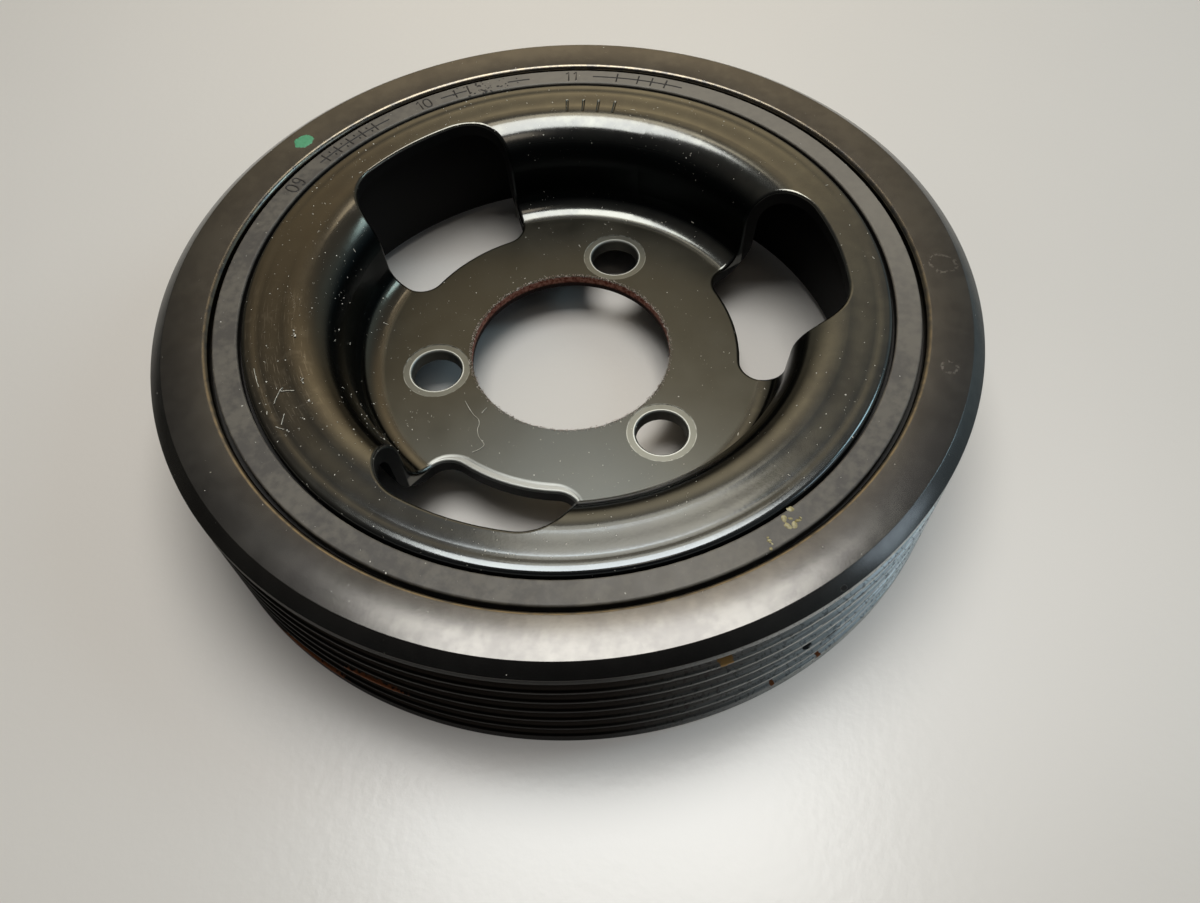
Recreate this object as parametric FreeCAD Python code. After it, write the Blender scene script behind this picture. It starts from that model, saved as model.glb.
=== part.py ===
"""Crankshaft belt pulley with a torsional damper, in millimetres.

Three pieces, one inside the other: a pressed steel hub shaped like a cup, a rubber ring
bonded round its skirt, and a heavy ring bonded round the rubber with six V grooves for a
ribbed belt. The origin is the centre of the back face that the pulley rests on, and +Z is
the axis of rotation, towards the front. A bolt hole lies on +X.
"""

import FreeCAD, Part

import math
import os

# Belt track: grooves for a ribbed belt of standard pitch
GROOVE_COUNT = 6
GROOVE_PITCH = 3.56
GROOVE_DEPTH = 2.9
GROOVE_FLANK_ANGLE = 20.0   # half of the V, in degrees
GROOVE_ROOT_WIDTH = 0.74
GROOVE_ROOT_ROUND = 0.3
RIB_CREST_ROUND = 0.25
FRONT_LAND = 1.1            # plain land between the face chamfer and the first groove
BACK_LAND = 2.14            # plain land between the last groove and the back face

# Heavy ring
RING_RADIUS = 65.0          # over the rib crests
RING_WALL = 6.0             # radial thickness under the grooves
FACE_CHAMFER_WIDTH = 2.0    # radial width of the chamfer round the front face
FACE_CHAMFER_DROP = 1.4     # the same chamfer along the axis
BORE_BEVEL = 0.8            # at both ends of the ring's bore
BACK_CHAMFER = 0.5

# Pressed hub
SHEET = 2.5
BORE_RADIUS = 17.15
CUP_DEPTH = 16.05           # from the shoulder down to the bolting plate
WALL_DRAFT = 3.6            # lean of the cup's wall, in degrees
FOOT_ROUND = 4.4            # concave round between plate and wall
HEAD_ROUND = 7.8            # convex round between wall and shoulder
SHOULDER_WIDTH = 6.7        # flat shoulder, from the upper bend to the skirt
SHOULDER_RECESS = 0.3       # shoulder below the heavy ring's front face
LIP_ROUND = 0.8             # round between shoulder and skirt
SKIRT_RECESS = 2.0          # skirt's end above the back face

# Bolt holes
BOLT_COUNT = 3
BOLT_INSET = 6.1            # from the bore's edge to each hole's centre
BOLT_HOLE = 4.2             # radius
HOLE_BREAK = 0.3            # chamfer at the hole's front edge
SEAT_MARGIN = 1.5           # width of the shallow pressed seat round each hole
SEAT_DEPTH = 0.12

# Windows, centred between the bolt holes
WINDOW_BITE = 7.1           # from the foot of the wall in to the edge on the plate
WINDOW_LAP = 0.3            # from the upper bend out to the edge on the shoulder
WINDOW_ANGLE = 45.8         # width, in degrees
WINDOW_INNER_ROUND = 3.9
WINDOW_OUTER_ROUND = 7.6
WINDOW_EDGE_ROUND = 0.6     # rolled edge on the front side

# Rubber ring
RUBBER_WALL = 4.9
RUBBER_RECESS = 1.0         # back of the rubber above the skirt's end
MOULD_GROOVE = 2.0          # depth of the grooves beside the raised band
BAND_RECESS = 0.1           # raised band below the hub's shoulder
BAND_INNER_GAP = 0.5        # groove width beside the hub
BAND_OUTER_GAP = 0.6        # groove width beside the heavy ring
BAND_ROUND = 0.3

# Sizes that follow from those above
FULL_TURN = 360.0
WALL_TURN = 90.0 - WALL_DRAFT   # bend between plate and wall, and between wall and shoulder
HALF_BEND = math.tan(math.radians(WALL_TURN / 2))
RING_HEIGHT = FACE_CHAMFER_DROP + FRONT_LAND + GROOVE_COUNT * GROOVE_PITCH + BACK_LAND
SHOULDER_TOP = RING_HEIGHT - SHOULDER_RECESS
PLATE_TOP = SHOULDER_TOP - CUP_DEPTH
RING_BORE = RING_RADIUS - GROOVE_DEPTH - RING_WALL
SKIRT_RADIUS = RING_BORE - RUBBER_WALL
BEND_END = SKIRT_RADIUS - SHOULDER_WIDTH
WALL_HEAD = BEND_END - HEAD_ROUND * HALF_BEND
WALL_FOOT = WALL_HEAD - CUP_DEPTH * math.tan(math.radians(WALL_DRAFT))
BOLT_CIRCLE = BORE_RADIUS + BOLT_INSET
WINDOW_INNER = WALL_FOOT - WINDOW_BITE
WINDOW_OUTER = BEND_END + WINDOW_LAP
PUNCH_REACH = 2 * SHEET         # how far punches run past the sheet

ORIGIN = FreeCAD.Vector(0, 0, 0)
AXIS = FreeCAD.Vector(0, 0, 1)
ON_SURFACE = 1e-4


def unit(start, end):
    """Direction from one point to another."""
    step = end - start
    return step * (1 / step.Length)


def rounded_corner(before, corner, after, radius):
    """Start, middle and end of the arc that rounds a corner."""
    back = unit(corner, before)
    ahead = unit(corner, after)
    half = back.getAngle(ahead) / 2
    trim = radius / math.tan(half)
    bisector = unit(ORIGIN, back + ahead)
    centre = corner + bisector * (radius / math.sin(half))
    return corner + back * trim, centre - bisector * radius, corner + ahead * trim


def outline(corners, closed):
    """Wire through (radius, height, corner round) triples, as lines and tangent arcs."""
    points = [FreeCAD.Vector(radius, 0, height) for radius, height, _ in corners]
    count = len(points)
    edges = []
    ends = []
    for i, (_, _, corner_round) in enumerate(corners):
        if corner_round > 0:
            after = points[(i + 1) % count]
            start, middle, end = rounded_corner(points[i - 1], points[i], after, corner_round)
            edges.append(Part.Arc(start, middle, end).toShape())
            ends.append((start, end))
        else:
            ends.append((points[i], points[i]))
    for i in range(count if closed else count - 1):
        edges.append(Part.makeLine(ends[i][1], ends[(i + 1) % count][0]))
    return Part.Wire(Part.__sortEdges__(edges))


def turned(corners):
    """Solid of revolution from a section's corners."""
    return Part.Face(outline(corners, closed=True)).revolve(ORIGIN, AXIS, FULL_TURN)


def polar(radius, degrees, height):
    """Point at a radius and an angle round the axis."""
    angle = math.radians(degrees)
    return FreeCAD.Vector(radius * math.cos(angle), radius * math.sin(angle), height)


def groove_corners(centre):
    """Corners of one V groove, from its lower crest to its upper one."""
    root = RING_RADIUS - GROOVE_DEPTH
    half_root = GROOVE_ROOT_WIDTH / 2
    half_mouth = half_root + GROOVE_DEPTH * math.tan(math.radians(GROOVE_FLANK_ANGLE))
    return [
        (RING_RADIUS, centre - half_mouth, RIB_CREST_ROUND),
        (root, centre - half_root, GROOVE_ROOT_ROUND),
        (root, centre + half_root, GROOVE_ROOT_ROUND),
        (RING_RADIUS, centre + half_mouth, RIB_CREST_ROUND),
    ]


def belt_track():
    """Corners of all grooves, from the back to the front."""
    corners = []
    for i in range(GROOVE_COUNT):
        corners += groove_corners(BACK_LAND + (i + 0.5) * GROOVE_PITCH)
    return corners


def pulley_ring():
    """Heavy ring with the belt grooves, a chamfered front face and a plain bore."""
    return turned([
        (RING_BORE, BORE_BEVEL, 0),
        (RING_BORE + BORE_BEVEL, 0, 0),
        (RING_RADIUS - BACK_CHAMFER, 0, 0),
        (RING_RADIUS, BACK_CHAMFER, 0),
        *belt_track(),
        (RING_RADIUS, RING_HEIGHT - FACE_CHAMFER_DROP, 0),
        (RING_RADIUS - FACE_CHAMFER_WIDTH, RING_HEIGHT, 0),
        (RING_BORE + BORE_BEVEL, RING_HEIGHT, 0),
        (RING_BORE, RING_HEIGHT - BORE_BEVEL, 0),
    ])


def front_corners():
    """Corners of the hub's front side, from the bore out to the skirt's end."""
    return [
        (BORE_RADIUS, PLATE_TOP, 0),
        (WALL_FOOT, PLATE_TOP, FOOT_ROUND),
        (WALL_HEAD, SHOULDER_TOP, HEAD_ROUND),
        (SKIRT_RADIUS, SHOULDER_TOP, LIP_ROUND),
        (SKIRT_RADIUS, SKIRT_RECESS, 0),
    ]


def back_corners():
    """Corners of the hub's back side, one sheet behind the front, from the skirt in to the bore."""
    shift = SHEET * HALF_BEND
    return [
        (SKIRT_RADIUS - SHEET, SKIRT_RECESS, 0),
        (SKIRT_RADIUS - SHEET, SHOULDER_TOP - SHEET, 0),
        (WALL_HEAD + shift, SHOULDER_TOP - SHEET, HEAD_ROUND - SHEET),
        (WALL_FOOT + shift, PLATE_TOP - SHEET, FOOT_ROUND + SHEET),
        (BORE_RADIUS, PLATE_TOP - SHEET, 0),
    ]


def arc_between(radius, start, end, height):
    """Arc round the axis from one angle to another."""
    middle = polar(radius, (start + end) / 2, height)
    return Part.Arc(polar(radius, start, height), middle, polar(radius, end, height)).toShape()


def is_upright_at(edge, radius):
    """True for an edge that runs along the axis at that radius."""
    first = edge.valueAt(edge.FirstParameter)
    last = edge.valueAt(edge.LastParameter)
    upright = math.hypot(first.x - last.x, first.y - last.y) < ON_SURFACE
    return upright and abs(math.hypot(first.x, first.y) - radius) < ON_SURFACE


def window_punch(centre):
    """Punch for one window: a ring sector with rounded corners, through the whole hub."""
    start = centre - WINDOW_ANGLE / 2
    end = centre + WINDOW_ANGLE / 2
    base = PLATE_TOP - PUNCH_REACH
    sector = Part.Wire([
        arc_between(WINDOW_INNER, start, end, base),
        Part.makeLine(polar(WINDOW_INNER, end, base), polar(WINDOW_OUTER, end, base)),
        arc_between(WINDOW_OUTER, start, end, base),
        Part.makeLine(polar(WINDOW_OUTER, start, base), polar(WINDOW_INNER, start, base)),
    ])
    punch = Part.Face(sector).extrude(AXIS * (SHOULDER_TOP + PUNCH_REACH - base))
    for radius, corner_round in ((WINDOW_INNER, WINDOW_INNER_ROUND), (WINDOW_OUTER, WINDOW_OUTER_ROUND)):
        corners = [edge for edge in punch.Edges if is_upright_at(edge, radius)]
        punch = punch.makeFillet(corner_round, corners)
    return punch


def touches(edge, surface):
    """True where the middle of an edge lies on a surface."""
    middle = Part.Vertex(edge.valueAt((edge.FirstParameter + edge.LastParameter) / 2))
    return middle.distToShape(surface)[0] < ON_SURFACE


def rolled_windows(shape, punches):
    """Hub with the front edges of its windows rounded, as the punch leaves them."""
    front = outline(front_corners(), closed=False).revolve(ORIGIN, AXIS, FULL_TURN)
    sides = Part.makeCompound([punch.Shells[0] for punch in punches])
    rims = [edge for edge in shape.Edges if touches(edge, front) and touches(edge, sides)]
    return shape.makeFillet(WINDOW_EDGE_ROUND, rims)


def bolt_drill(angle):
    """Drill for one bolt hole, with its broken edge and the shallow seat round it."""
    seat_floor = polar(BOLT_CIRCLE, angle, PLATE_TOP - SEAT_DEPTH)
    seat = Part.makeCylinder(BOLT_HOLE + SEAT_MARGIN, PUNCH_REACH, seat_floor, AXIS)
    edge_base = seat_floor - AXIS * HOLE_BREAK
    edge = Part.makeCone(BOLT_HOLE, BOLT_HOLE + HOLE_BREAK, HOLE_BREAK, edge_base, AXIS)
    hole = Part.makeCylinder(BOLT_HOLE, 2 * PUNCH_REACH, seat_floor - AXIS * PUNCH_REACH, AXIS)
    return hole.fuse(edge).fuse(seat)


def hub():
    """Pressed hub with its bore, windows and bolt holes."""
    pitch = FULL_TURN / BOLT_COUNT
    punches = [window_punch((i + 0.5) * pitch) for i in range(BOLT_COUNT)]
    shape = turned(front_corners() + back_corners())
    for punch in punches:
        shape = shape.cut(punch)
    shape = rolled_windows(shape, punches)
    for i in range(BOLT_COUNT):
        shape = shape.cut(bolt_drill(i * pitch))
    return shape


def rubber_ring():
    """Rubber ring between hub and heavy ring, with a raised band on its front."""
    back = SKIRT_RECESS + RUBBER_RECESS
    groove = SHOULDER_TOP - MOULD_GROOVE
    band = SHOULDER_TOP - BAND_RECESS
    inner = SKIRT_RADIUS + BAND_INNER_GAP
    outer = RING_BORE - BAND_OUTER_GAP
    return turned([
        (SKIRT_RADIUS, back, 0),
        (RING_BORE, back, 0),
        (RING_BORE, groove, 0),
        (outer, groove, 0),
        (outer, band, BAND_ROUND),
        (inner, band, BAND_ROUND),
        (inner, groove, 0),
        (SKIRT_RADIUS, groove, 0),
    ])


def main():
    """Writes one STEP file for each piece."""
    os.makedirs("parts", exist_ok=True)
    pieces = {"hub": hub(), "rubber_ring": rubber_ring(), "pulley_ring": pulley_ring()}
    for name, shape in pieces.items():
        print(name, "valid" if shape.isValid() else "not valid", round(shape.Volume, 1), "mm3")
        shape.exportStep(os.path.join("parts", name + ".step"))


main()
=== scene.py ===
"""Looks of a crankshaft belt pulley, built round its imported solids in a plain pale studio.

Lengths in the size classes are in millimetres. An angle called "seen" is measured round the
pulley's axis from the direction that points right in the photograph, seen from above; the
solids have a bolt hole on +X instead, and Layout turns one into the other.
"""

import logging
import math
import random
from dataclasses import dataclass
from enum import Enum

import bmesh
import bpy
import numpy as np
from mathutils import Matrix, Vector

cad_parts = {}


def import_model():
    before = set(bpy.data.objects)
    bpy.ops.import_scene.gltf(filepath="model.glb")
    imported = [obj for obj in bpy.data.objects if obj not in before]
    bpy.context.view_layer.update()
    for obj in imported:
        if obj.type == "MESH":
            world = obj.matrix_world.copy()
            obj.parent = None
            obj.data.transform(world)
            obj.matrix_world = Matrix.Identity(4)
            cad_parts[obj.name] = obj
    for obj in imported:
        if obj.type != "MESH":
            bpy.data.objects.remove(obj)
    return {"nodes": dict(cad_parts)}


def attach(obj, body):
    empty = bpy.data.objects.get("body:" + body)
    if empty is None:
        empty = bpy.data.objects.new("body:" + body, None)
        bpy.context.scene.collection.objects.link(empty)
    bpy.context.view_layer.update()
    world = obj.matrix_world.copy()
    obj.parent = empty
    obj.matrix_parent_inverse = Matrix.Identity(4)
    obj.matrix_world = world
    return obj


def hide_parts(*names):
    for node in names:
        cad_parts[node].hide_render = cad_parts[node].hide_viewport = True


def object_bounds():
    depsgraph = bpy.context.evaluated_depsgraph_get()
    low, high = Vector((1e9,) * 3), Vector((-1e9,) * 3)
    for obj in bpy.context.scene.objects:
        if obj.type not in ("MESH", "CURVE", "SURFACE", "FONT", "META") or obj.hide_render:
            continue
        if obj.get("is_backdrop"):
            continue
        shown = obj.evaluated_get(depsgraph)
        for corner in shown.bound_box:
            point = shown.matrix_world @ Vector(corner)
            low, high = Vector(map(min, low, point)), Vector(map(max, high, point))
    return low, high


log = logging.getLogger("pulley")

MM = 0.001
SEEN_TURN = -68.4  # degrees from a seen angle to an angle in the solids' frame
Socket = bpy.types.NodeSocket
Material = bpy.types.Material
Mesh = bpy.types.Mesh
Piece = bpy.types.Object

# Seen angle and radius in mm along each hair. Each flake has its size in mm too, and those on
# the cup's wall have their height over the floor in its place.
PLATE_HAIR = (
    (-149.8, 20.6), (-145.4, 20.8), (-140.9, 21.0), (-137.6, 21.0), (-135.4, 21.5),
    (-134.1, 22.3), (-132.9, 22.8), (-130.7, 23.4), (-127.3, 23.9), (-126.5, 24.3),
    (-126.8, 25.1), (-127.7, 25.95), (-128.2, 26.3),
)
PLATE_FLICK = ((-139.0, 19.8), (-139.6, 19.1), (-139.8, 18.5))
SHOULDER_HAIRS = (
    ((-162.8, 49.45), (-161.1, 49.44), (-159.7, 49.44), (-158.4, 49.38)),
    ((-153.6, 48.2), (-154.5, 47.7), (-155.6, 46.95), (-156.1, 46.6), (-156.4, 46.2)),
    ((-155.7, 46.6), (-155.3, 45.65), (-154.7, 44.8)),
    ((-148.7, 48.6), (-149.7, 48.0), (-150.6, 47.5)),
    ((-148.8, 49.4), (-148.1, 49.0), (-147.5, 48.6)),
)
SHOULDER_FLAKES = (
    (-169.5, 42.9, 0.75), (-167.2, 47.1, 0.35), (-163.8, 47.7, 0.3), (-163.9, 50.0, 0.25),
    (-170.9, 47.4, 0.25), (-156.4, 43.2, 0.5), (-151.0, 43.5, 0.35), (-156.1, 46.6, 0.35),
    (-146.9, 48.3, 0.35), (-146.1, 48.8, 0.3), (-146.1, 46.8, 0.3), (-147.8, 45.4, 0.35),
    (-146.9, 44.4, 0.25),
)
WALL_FLAKE_SIZE = 0.13
WALL_FLAKES = (
    (-161.7, 36.51, 15.2), (-157.2, 36.5, 14.9), (-153.1, 37.47, 21.3), (-147.9, 36.88, 19.6),
    (-144.8, 37.74, 21.8), (-142.0, 38.03, 22.2), (-140.6, 37.58, 21.5), (-137.6, 37.94, 22.1),
    (-136.8, 37.58, 21.5), (-134.0, 37.59, 21.5), (174.6, 37.24, 20.7), (173.0, 36.76, 18.9),
    (-175.9, 37.17, 20.6), (-177.3, 36.56, 15.9), (162.2, 36.91, 19.6),
)
PLATE_FLAKES = (
    (-154.3, 28.5, 0.3), (-152.6, 27.0, 0.3), (-151.0, 26.7, 0.25), (-149.0, 27.6, 0.25),
    (-151.6, 30.9, 0.4), (-143.3, 29.3, 0.25), (-130.3, 25.4, 0.25),
)


def linear(code: str) -> tuple[float, float, float, float]:
    """Turns an sRGB hex code into a linear colour.

    Args:
        code: six hex digits, with or without a leading hash.

    Returns:
        Red, green, blue and an alpha of 1, all linear.
    """
    digits = code.lstrip("#")
    channels = [int(digits[i : i + 2], 16) / 255 for i in (0, 2, 4)]
    straight = [c / 12.92 if c <= 0.04045 else ((c + 0.055) / 1.055) ** 2.4 for c in channels]
    return (*straight, 1.0)


@dataclass(frozen=True)
class RingSizes:
    """Section of the heavy ring, as in the solids; the face lies a hair lower to leave room for dust."""

    radius: float = 65.0
    height: float = 26.0
    bore: float = 56.1
    bore_bevel: float = 0.8
    chamfer_width: float = 2.0
    chamfer_drop: float = 1.4
    back_chamfer: float = 0.5
    face_sink: float = 0.04
    edge_round: float = 0.16
    groove_count: int = 6
    groove_pitch: float = 3.56
    groove_depth: float = 2.9
    groove_root: float = 0.74
    groove_root_round: float = 0.3
    crest_round: float = 0.25
    flank_angle: float = 20.0
    back_land: float = 2.14
    segments: int = 800


@dataclass(frozen=True)
class HubSizes:
    """Places on the pressed hub, as in the solids."""

    shoulder_top: float = 25.7
    plate_top: float = 9.65
    sheet: float = 2.5
    bore_radius: float = 17.15
    bolt_circle: float = 23.25
    bolt_hole: float = 4.2
    seat_radius: float = 5.7
    bolt_count: int = 3
    bend_end: float = 44.5
    head_round: float = 7.8
    lip_round: float = 0.8
    groove_bottom: float = 23.75
    skirt_radius: float = 51.2
    front_window: float = -111.6  # seen angle of its middle
    window_half: float = 0.4  # half its width, in radians
    window_inner: float = 28.2
    window_round: float = 3.9


@dataclass(frozen=True)
class RubberSizes:
    """Places on the rubber ring's raised band, as in the solids."""

    top: float = 25.6
    inner: float = 51.7
    outer: float = 55.5
    middle: float = 53.55


class Layout:
    """Places things by their seen angle round the axis."""

    @staticmethod
    def place(radius: float, seen: float, height: float) -> Vector:
        """Finds a point in the solids' frame.

        Args:
            radius: distance from the axis, in millimetres.
            seen: seen angle in degrees.
            height: height over the floor, in millimetres.

        Returns:
            The point in metres.
        """
        angle = math.radians(seen + SEEN_TURN)
        return Vector((radius * math.cos(angle), radius * math.sin(angle), height)) * MM

    @staticmethod
    def turn() -> Matrix:
        """Returns the rotation from seen axes to the solids' axes."""
        return Matrix.Rotation(math.radians(SEEN_TURN), 4, "Z")


def add_node(tree: bpy.types.NodeTree, kind: str, inputs: dict | None = None, **settings) -> bpy.types.Node:
    """Adds one node, sets its options and fills its sockets.

    Args:
        tree: the tree that gets the node.
        kind: the node's type name.
        inputs: socket name or index to a value or to another node's output.
        settings: options of the node itself.

    Returns:
        The new node.
    """
    node = tree.nodes.new(kind)
    for option, value in settings.items():
        setattr(node, option, value)
    for key, value in (inputs or {}).items():
        if isinstance(value, Socket):
            tree.links.new(value, node.inputs[key])
        else:
            node.inputs[key].default_value = value
    return node


class Tree:
    """A node tree under construction."""

    tree: bpy.types.NodeTree

    def add(self, kind: str, inputs: dict | None = None, **settings) -> bpy.types.Node:
        """Adds a node to this tree; see add_node."""
        return add_node(self.tree, kind, inputs, **settings)

    def get(self, kind: str, inputs: dict | None = None, **settings) -> Socket:
        """Adds a node to this tree and returns its first output."""
        return self.add(kind, inputs, **settings).outputs[0]

    def math(self, operation: str, *values: float | Socket) -> Socket:
        """Returns a sum, product or other result of numbers."""
        return self.get("ShaderNodeMath", dict(enumerate(values)), operation=operation)


class Surface(Tree):
    """One material under construction, with its coordinates in millimetres."""

    def __init__(self, name: str) -> None:
        self.material = bpy.data.materials.new(name)
        self.material.use_nodes = True
        self.tree = self.material.node_tree
        self.tree.nodes.clear()
        self.shader = self.add("ShaderNodeBsdfPrincipled")
        self.add("ShaderNodeOutputMaterial", {"Surface": self.shader.outputs[0]})
        source = self.add("ShaderNodeTexCoord").outputs["Object"]
        enlarged = self.add("ShaderNodeVectorMath", {0: source, "Scale": 1 / MM}, operation="SCALE")
        self.point = enlarged.outputs[0]
        split = self.add("ShaderNodeSeparateXYZ", {0: self.point})
        self.x, self.y, self.z = split.outputs
        flat = self.add("ShaderNodeCombineXYZ", {0: self.x, 1: self.y})
        self.flat = flat.outputs[0]
        length = self.add("ShaderNodeVectorMath", {0: self.flat}, operation="LENGTH")
        self.radius = length.outputs["Value"]
        turned = self.math("DEGREES", self.math("ARCTAN2", self.y, self.x))
        self.seen = self.math("ADD", turned, -SEEN_TURN)

    def rise(self, value: Socket, start: float, end: float) -> Socket:
        """Returns a smooth step from 0 at start to 1 at end."""
        inputs = {"Value": value, "From Min": start, "From Max": end}
        return self.get("ShaderNodeMapRange", inputs, interpolation_type="SMOOTHSTEP")

    def between(self, value: Socket, low: float, high: float, soft: float) -> Socket:
        """Returns 1 from low to high and 0 outside, with soft edges.

        Args:
            value: the number that is compared.
            low: where 1 begins.
            high: where 1 ends.
            soft: half the width of each soft edge.

        Returns:
            The socket that carries it.
        """
        up = self.rise(value, low - soft, low + soft)
        down = self.rise(value, high + soft, high - soft)
        return self.math("MULTIPLY", up, down)

    def sector(self, seen: float, half: float, soft: float) -> Socket:
        """Returns 1 within a half width of a seen angle, in degrees.

        Args:
            seen: the sector's middle.
            half: its half width.
            soft: half the width of each soft edge.

        Returns:
            The socket that carries it.
        """
        turned = self.math("SUBTRACT", self.seen, seen)
        wrapped = self.math("WRAP", turned, 180.0, -180.0)
        return self.rise(self.math("ABSOLUTE", wrapped), half + soft, half - soft)

    def noise(self, size: float, detail: float = 3.0, point: Socket | None = None, **extra) -> Socket:
        """Returns smooth noise whose features are about that many millimetres wide."""
        inputs = {"Vector": point or self.point, "Scale": 1 / size, "Detail": detail, **extra}
        return self.get("ShaderNodeTexNoise", inputs)

    def stretched(self, along: float, height: float) -> Socket:
        """Returns coordinates round the axis that are long one way, for marks left by turning.

        Args:
            along: shrink factor of the way round.
            height: factor of the height and of the radius.

        Returns:
            The socket that carries it.
        """
        way = self.math("MULTIPLY", self.seen, along)
        out = self.math("MULTIPLY", self.radius, height)
        up = self.math("MULTIPLY", self.z, height)
        return self.get("ShaderNodeCombineXYZ", {0: way, 1: out, 2: up})

    def colour(self, factor: float | Socket, first, second) -> Socket:
        """Returns a blend of two colours."""
        node = self.add("ShaderNodeMix", {0: factor, 6: first, 7: second}, data_type="RGBA")
        return node.outputs[2]

    def blend(self, factor: float | Socket, first: float | Socket, second: float | Socket) -> Socket:
        """Returns a blend of two numbers."""
        return self.get("ShaderNodeMix", {0: factor, 2: first, 3: second}, data_type="FLOAT")

    def distance(self, spot: Vector) -> Socket:
        """Returns the distance in millimetres from a point given in metres."""
        inputs = {0: self.point, 1: spot / MM}
        return self.add("ShaderNodeVectorMath", inputs, operation="DISTANCE").outputs["Value"]

    def mottled(self, wide: float, fine: float, share: float) -> Socket:
        """Returns 0 to 1 in soft patches of two sizes in millimetres, with a share for the wide one.

        Args:
            wide: size of the wide patches.
            fine: size of the fine ones.
            share: share of the wide ones.

        Returns:
            The socket that carries it.
        """
        wide_part = self.math("MULTIPLY", self.noise(wide, 3.0), share)
        fine_part = self.math("MULTIPLY", self.noise(fine, 4.0), 1.0 - share)
        return self.rise(self.math("ADD", wide_part, fine_part), 0.38, 0.62)

    def bump(self, height: Socket, millimetres: float, below: Socket | None = None) -> Socket:
        """Returns a normal bent by a height.

        Args:
            height: the pattern, usually from 0 to 1.
            millimetres: how high 1 stands.
            below: another bump under this one.

        Returns:
            The socket that carries it.
        """
        inputs = {"Height": height, "Distance": millimetres * MM, "Strength": 1.0}
        if below is not None:
            inputs["Normal"] = below
        return self.get("ShaderNodeBump", inputs)

    def finish(self, **inputs) -> Material:
        """Fills the shader's sockets, with underscores for spaces, and returns the material.

        Args:
            inputs: a value or a socket for each of the shader's sockets.

        Returns:
            The material.
        """
        for key, value in inputs.items():
            socket = self.shader.inputs[key.replace("_", " ")]
            if isinstance(value, Socket):
                self.tree.links.new(value, socket)
            else:
                socket.default_value = value
        return self.material


class Finish(Enum):
    """The record's material slots."""

    STEEL = "coated_steel"
    RUBBER = "rubber"
    RING = "cast_ring"


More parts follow.
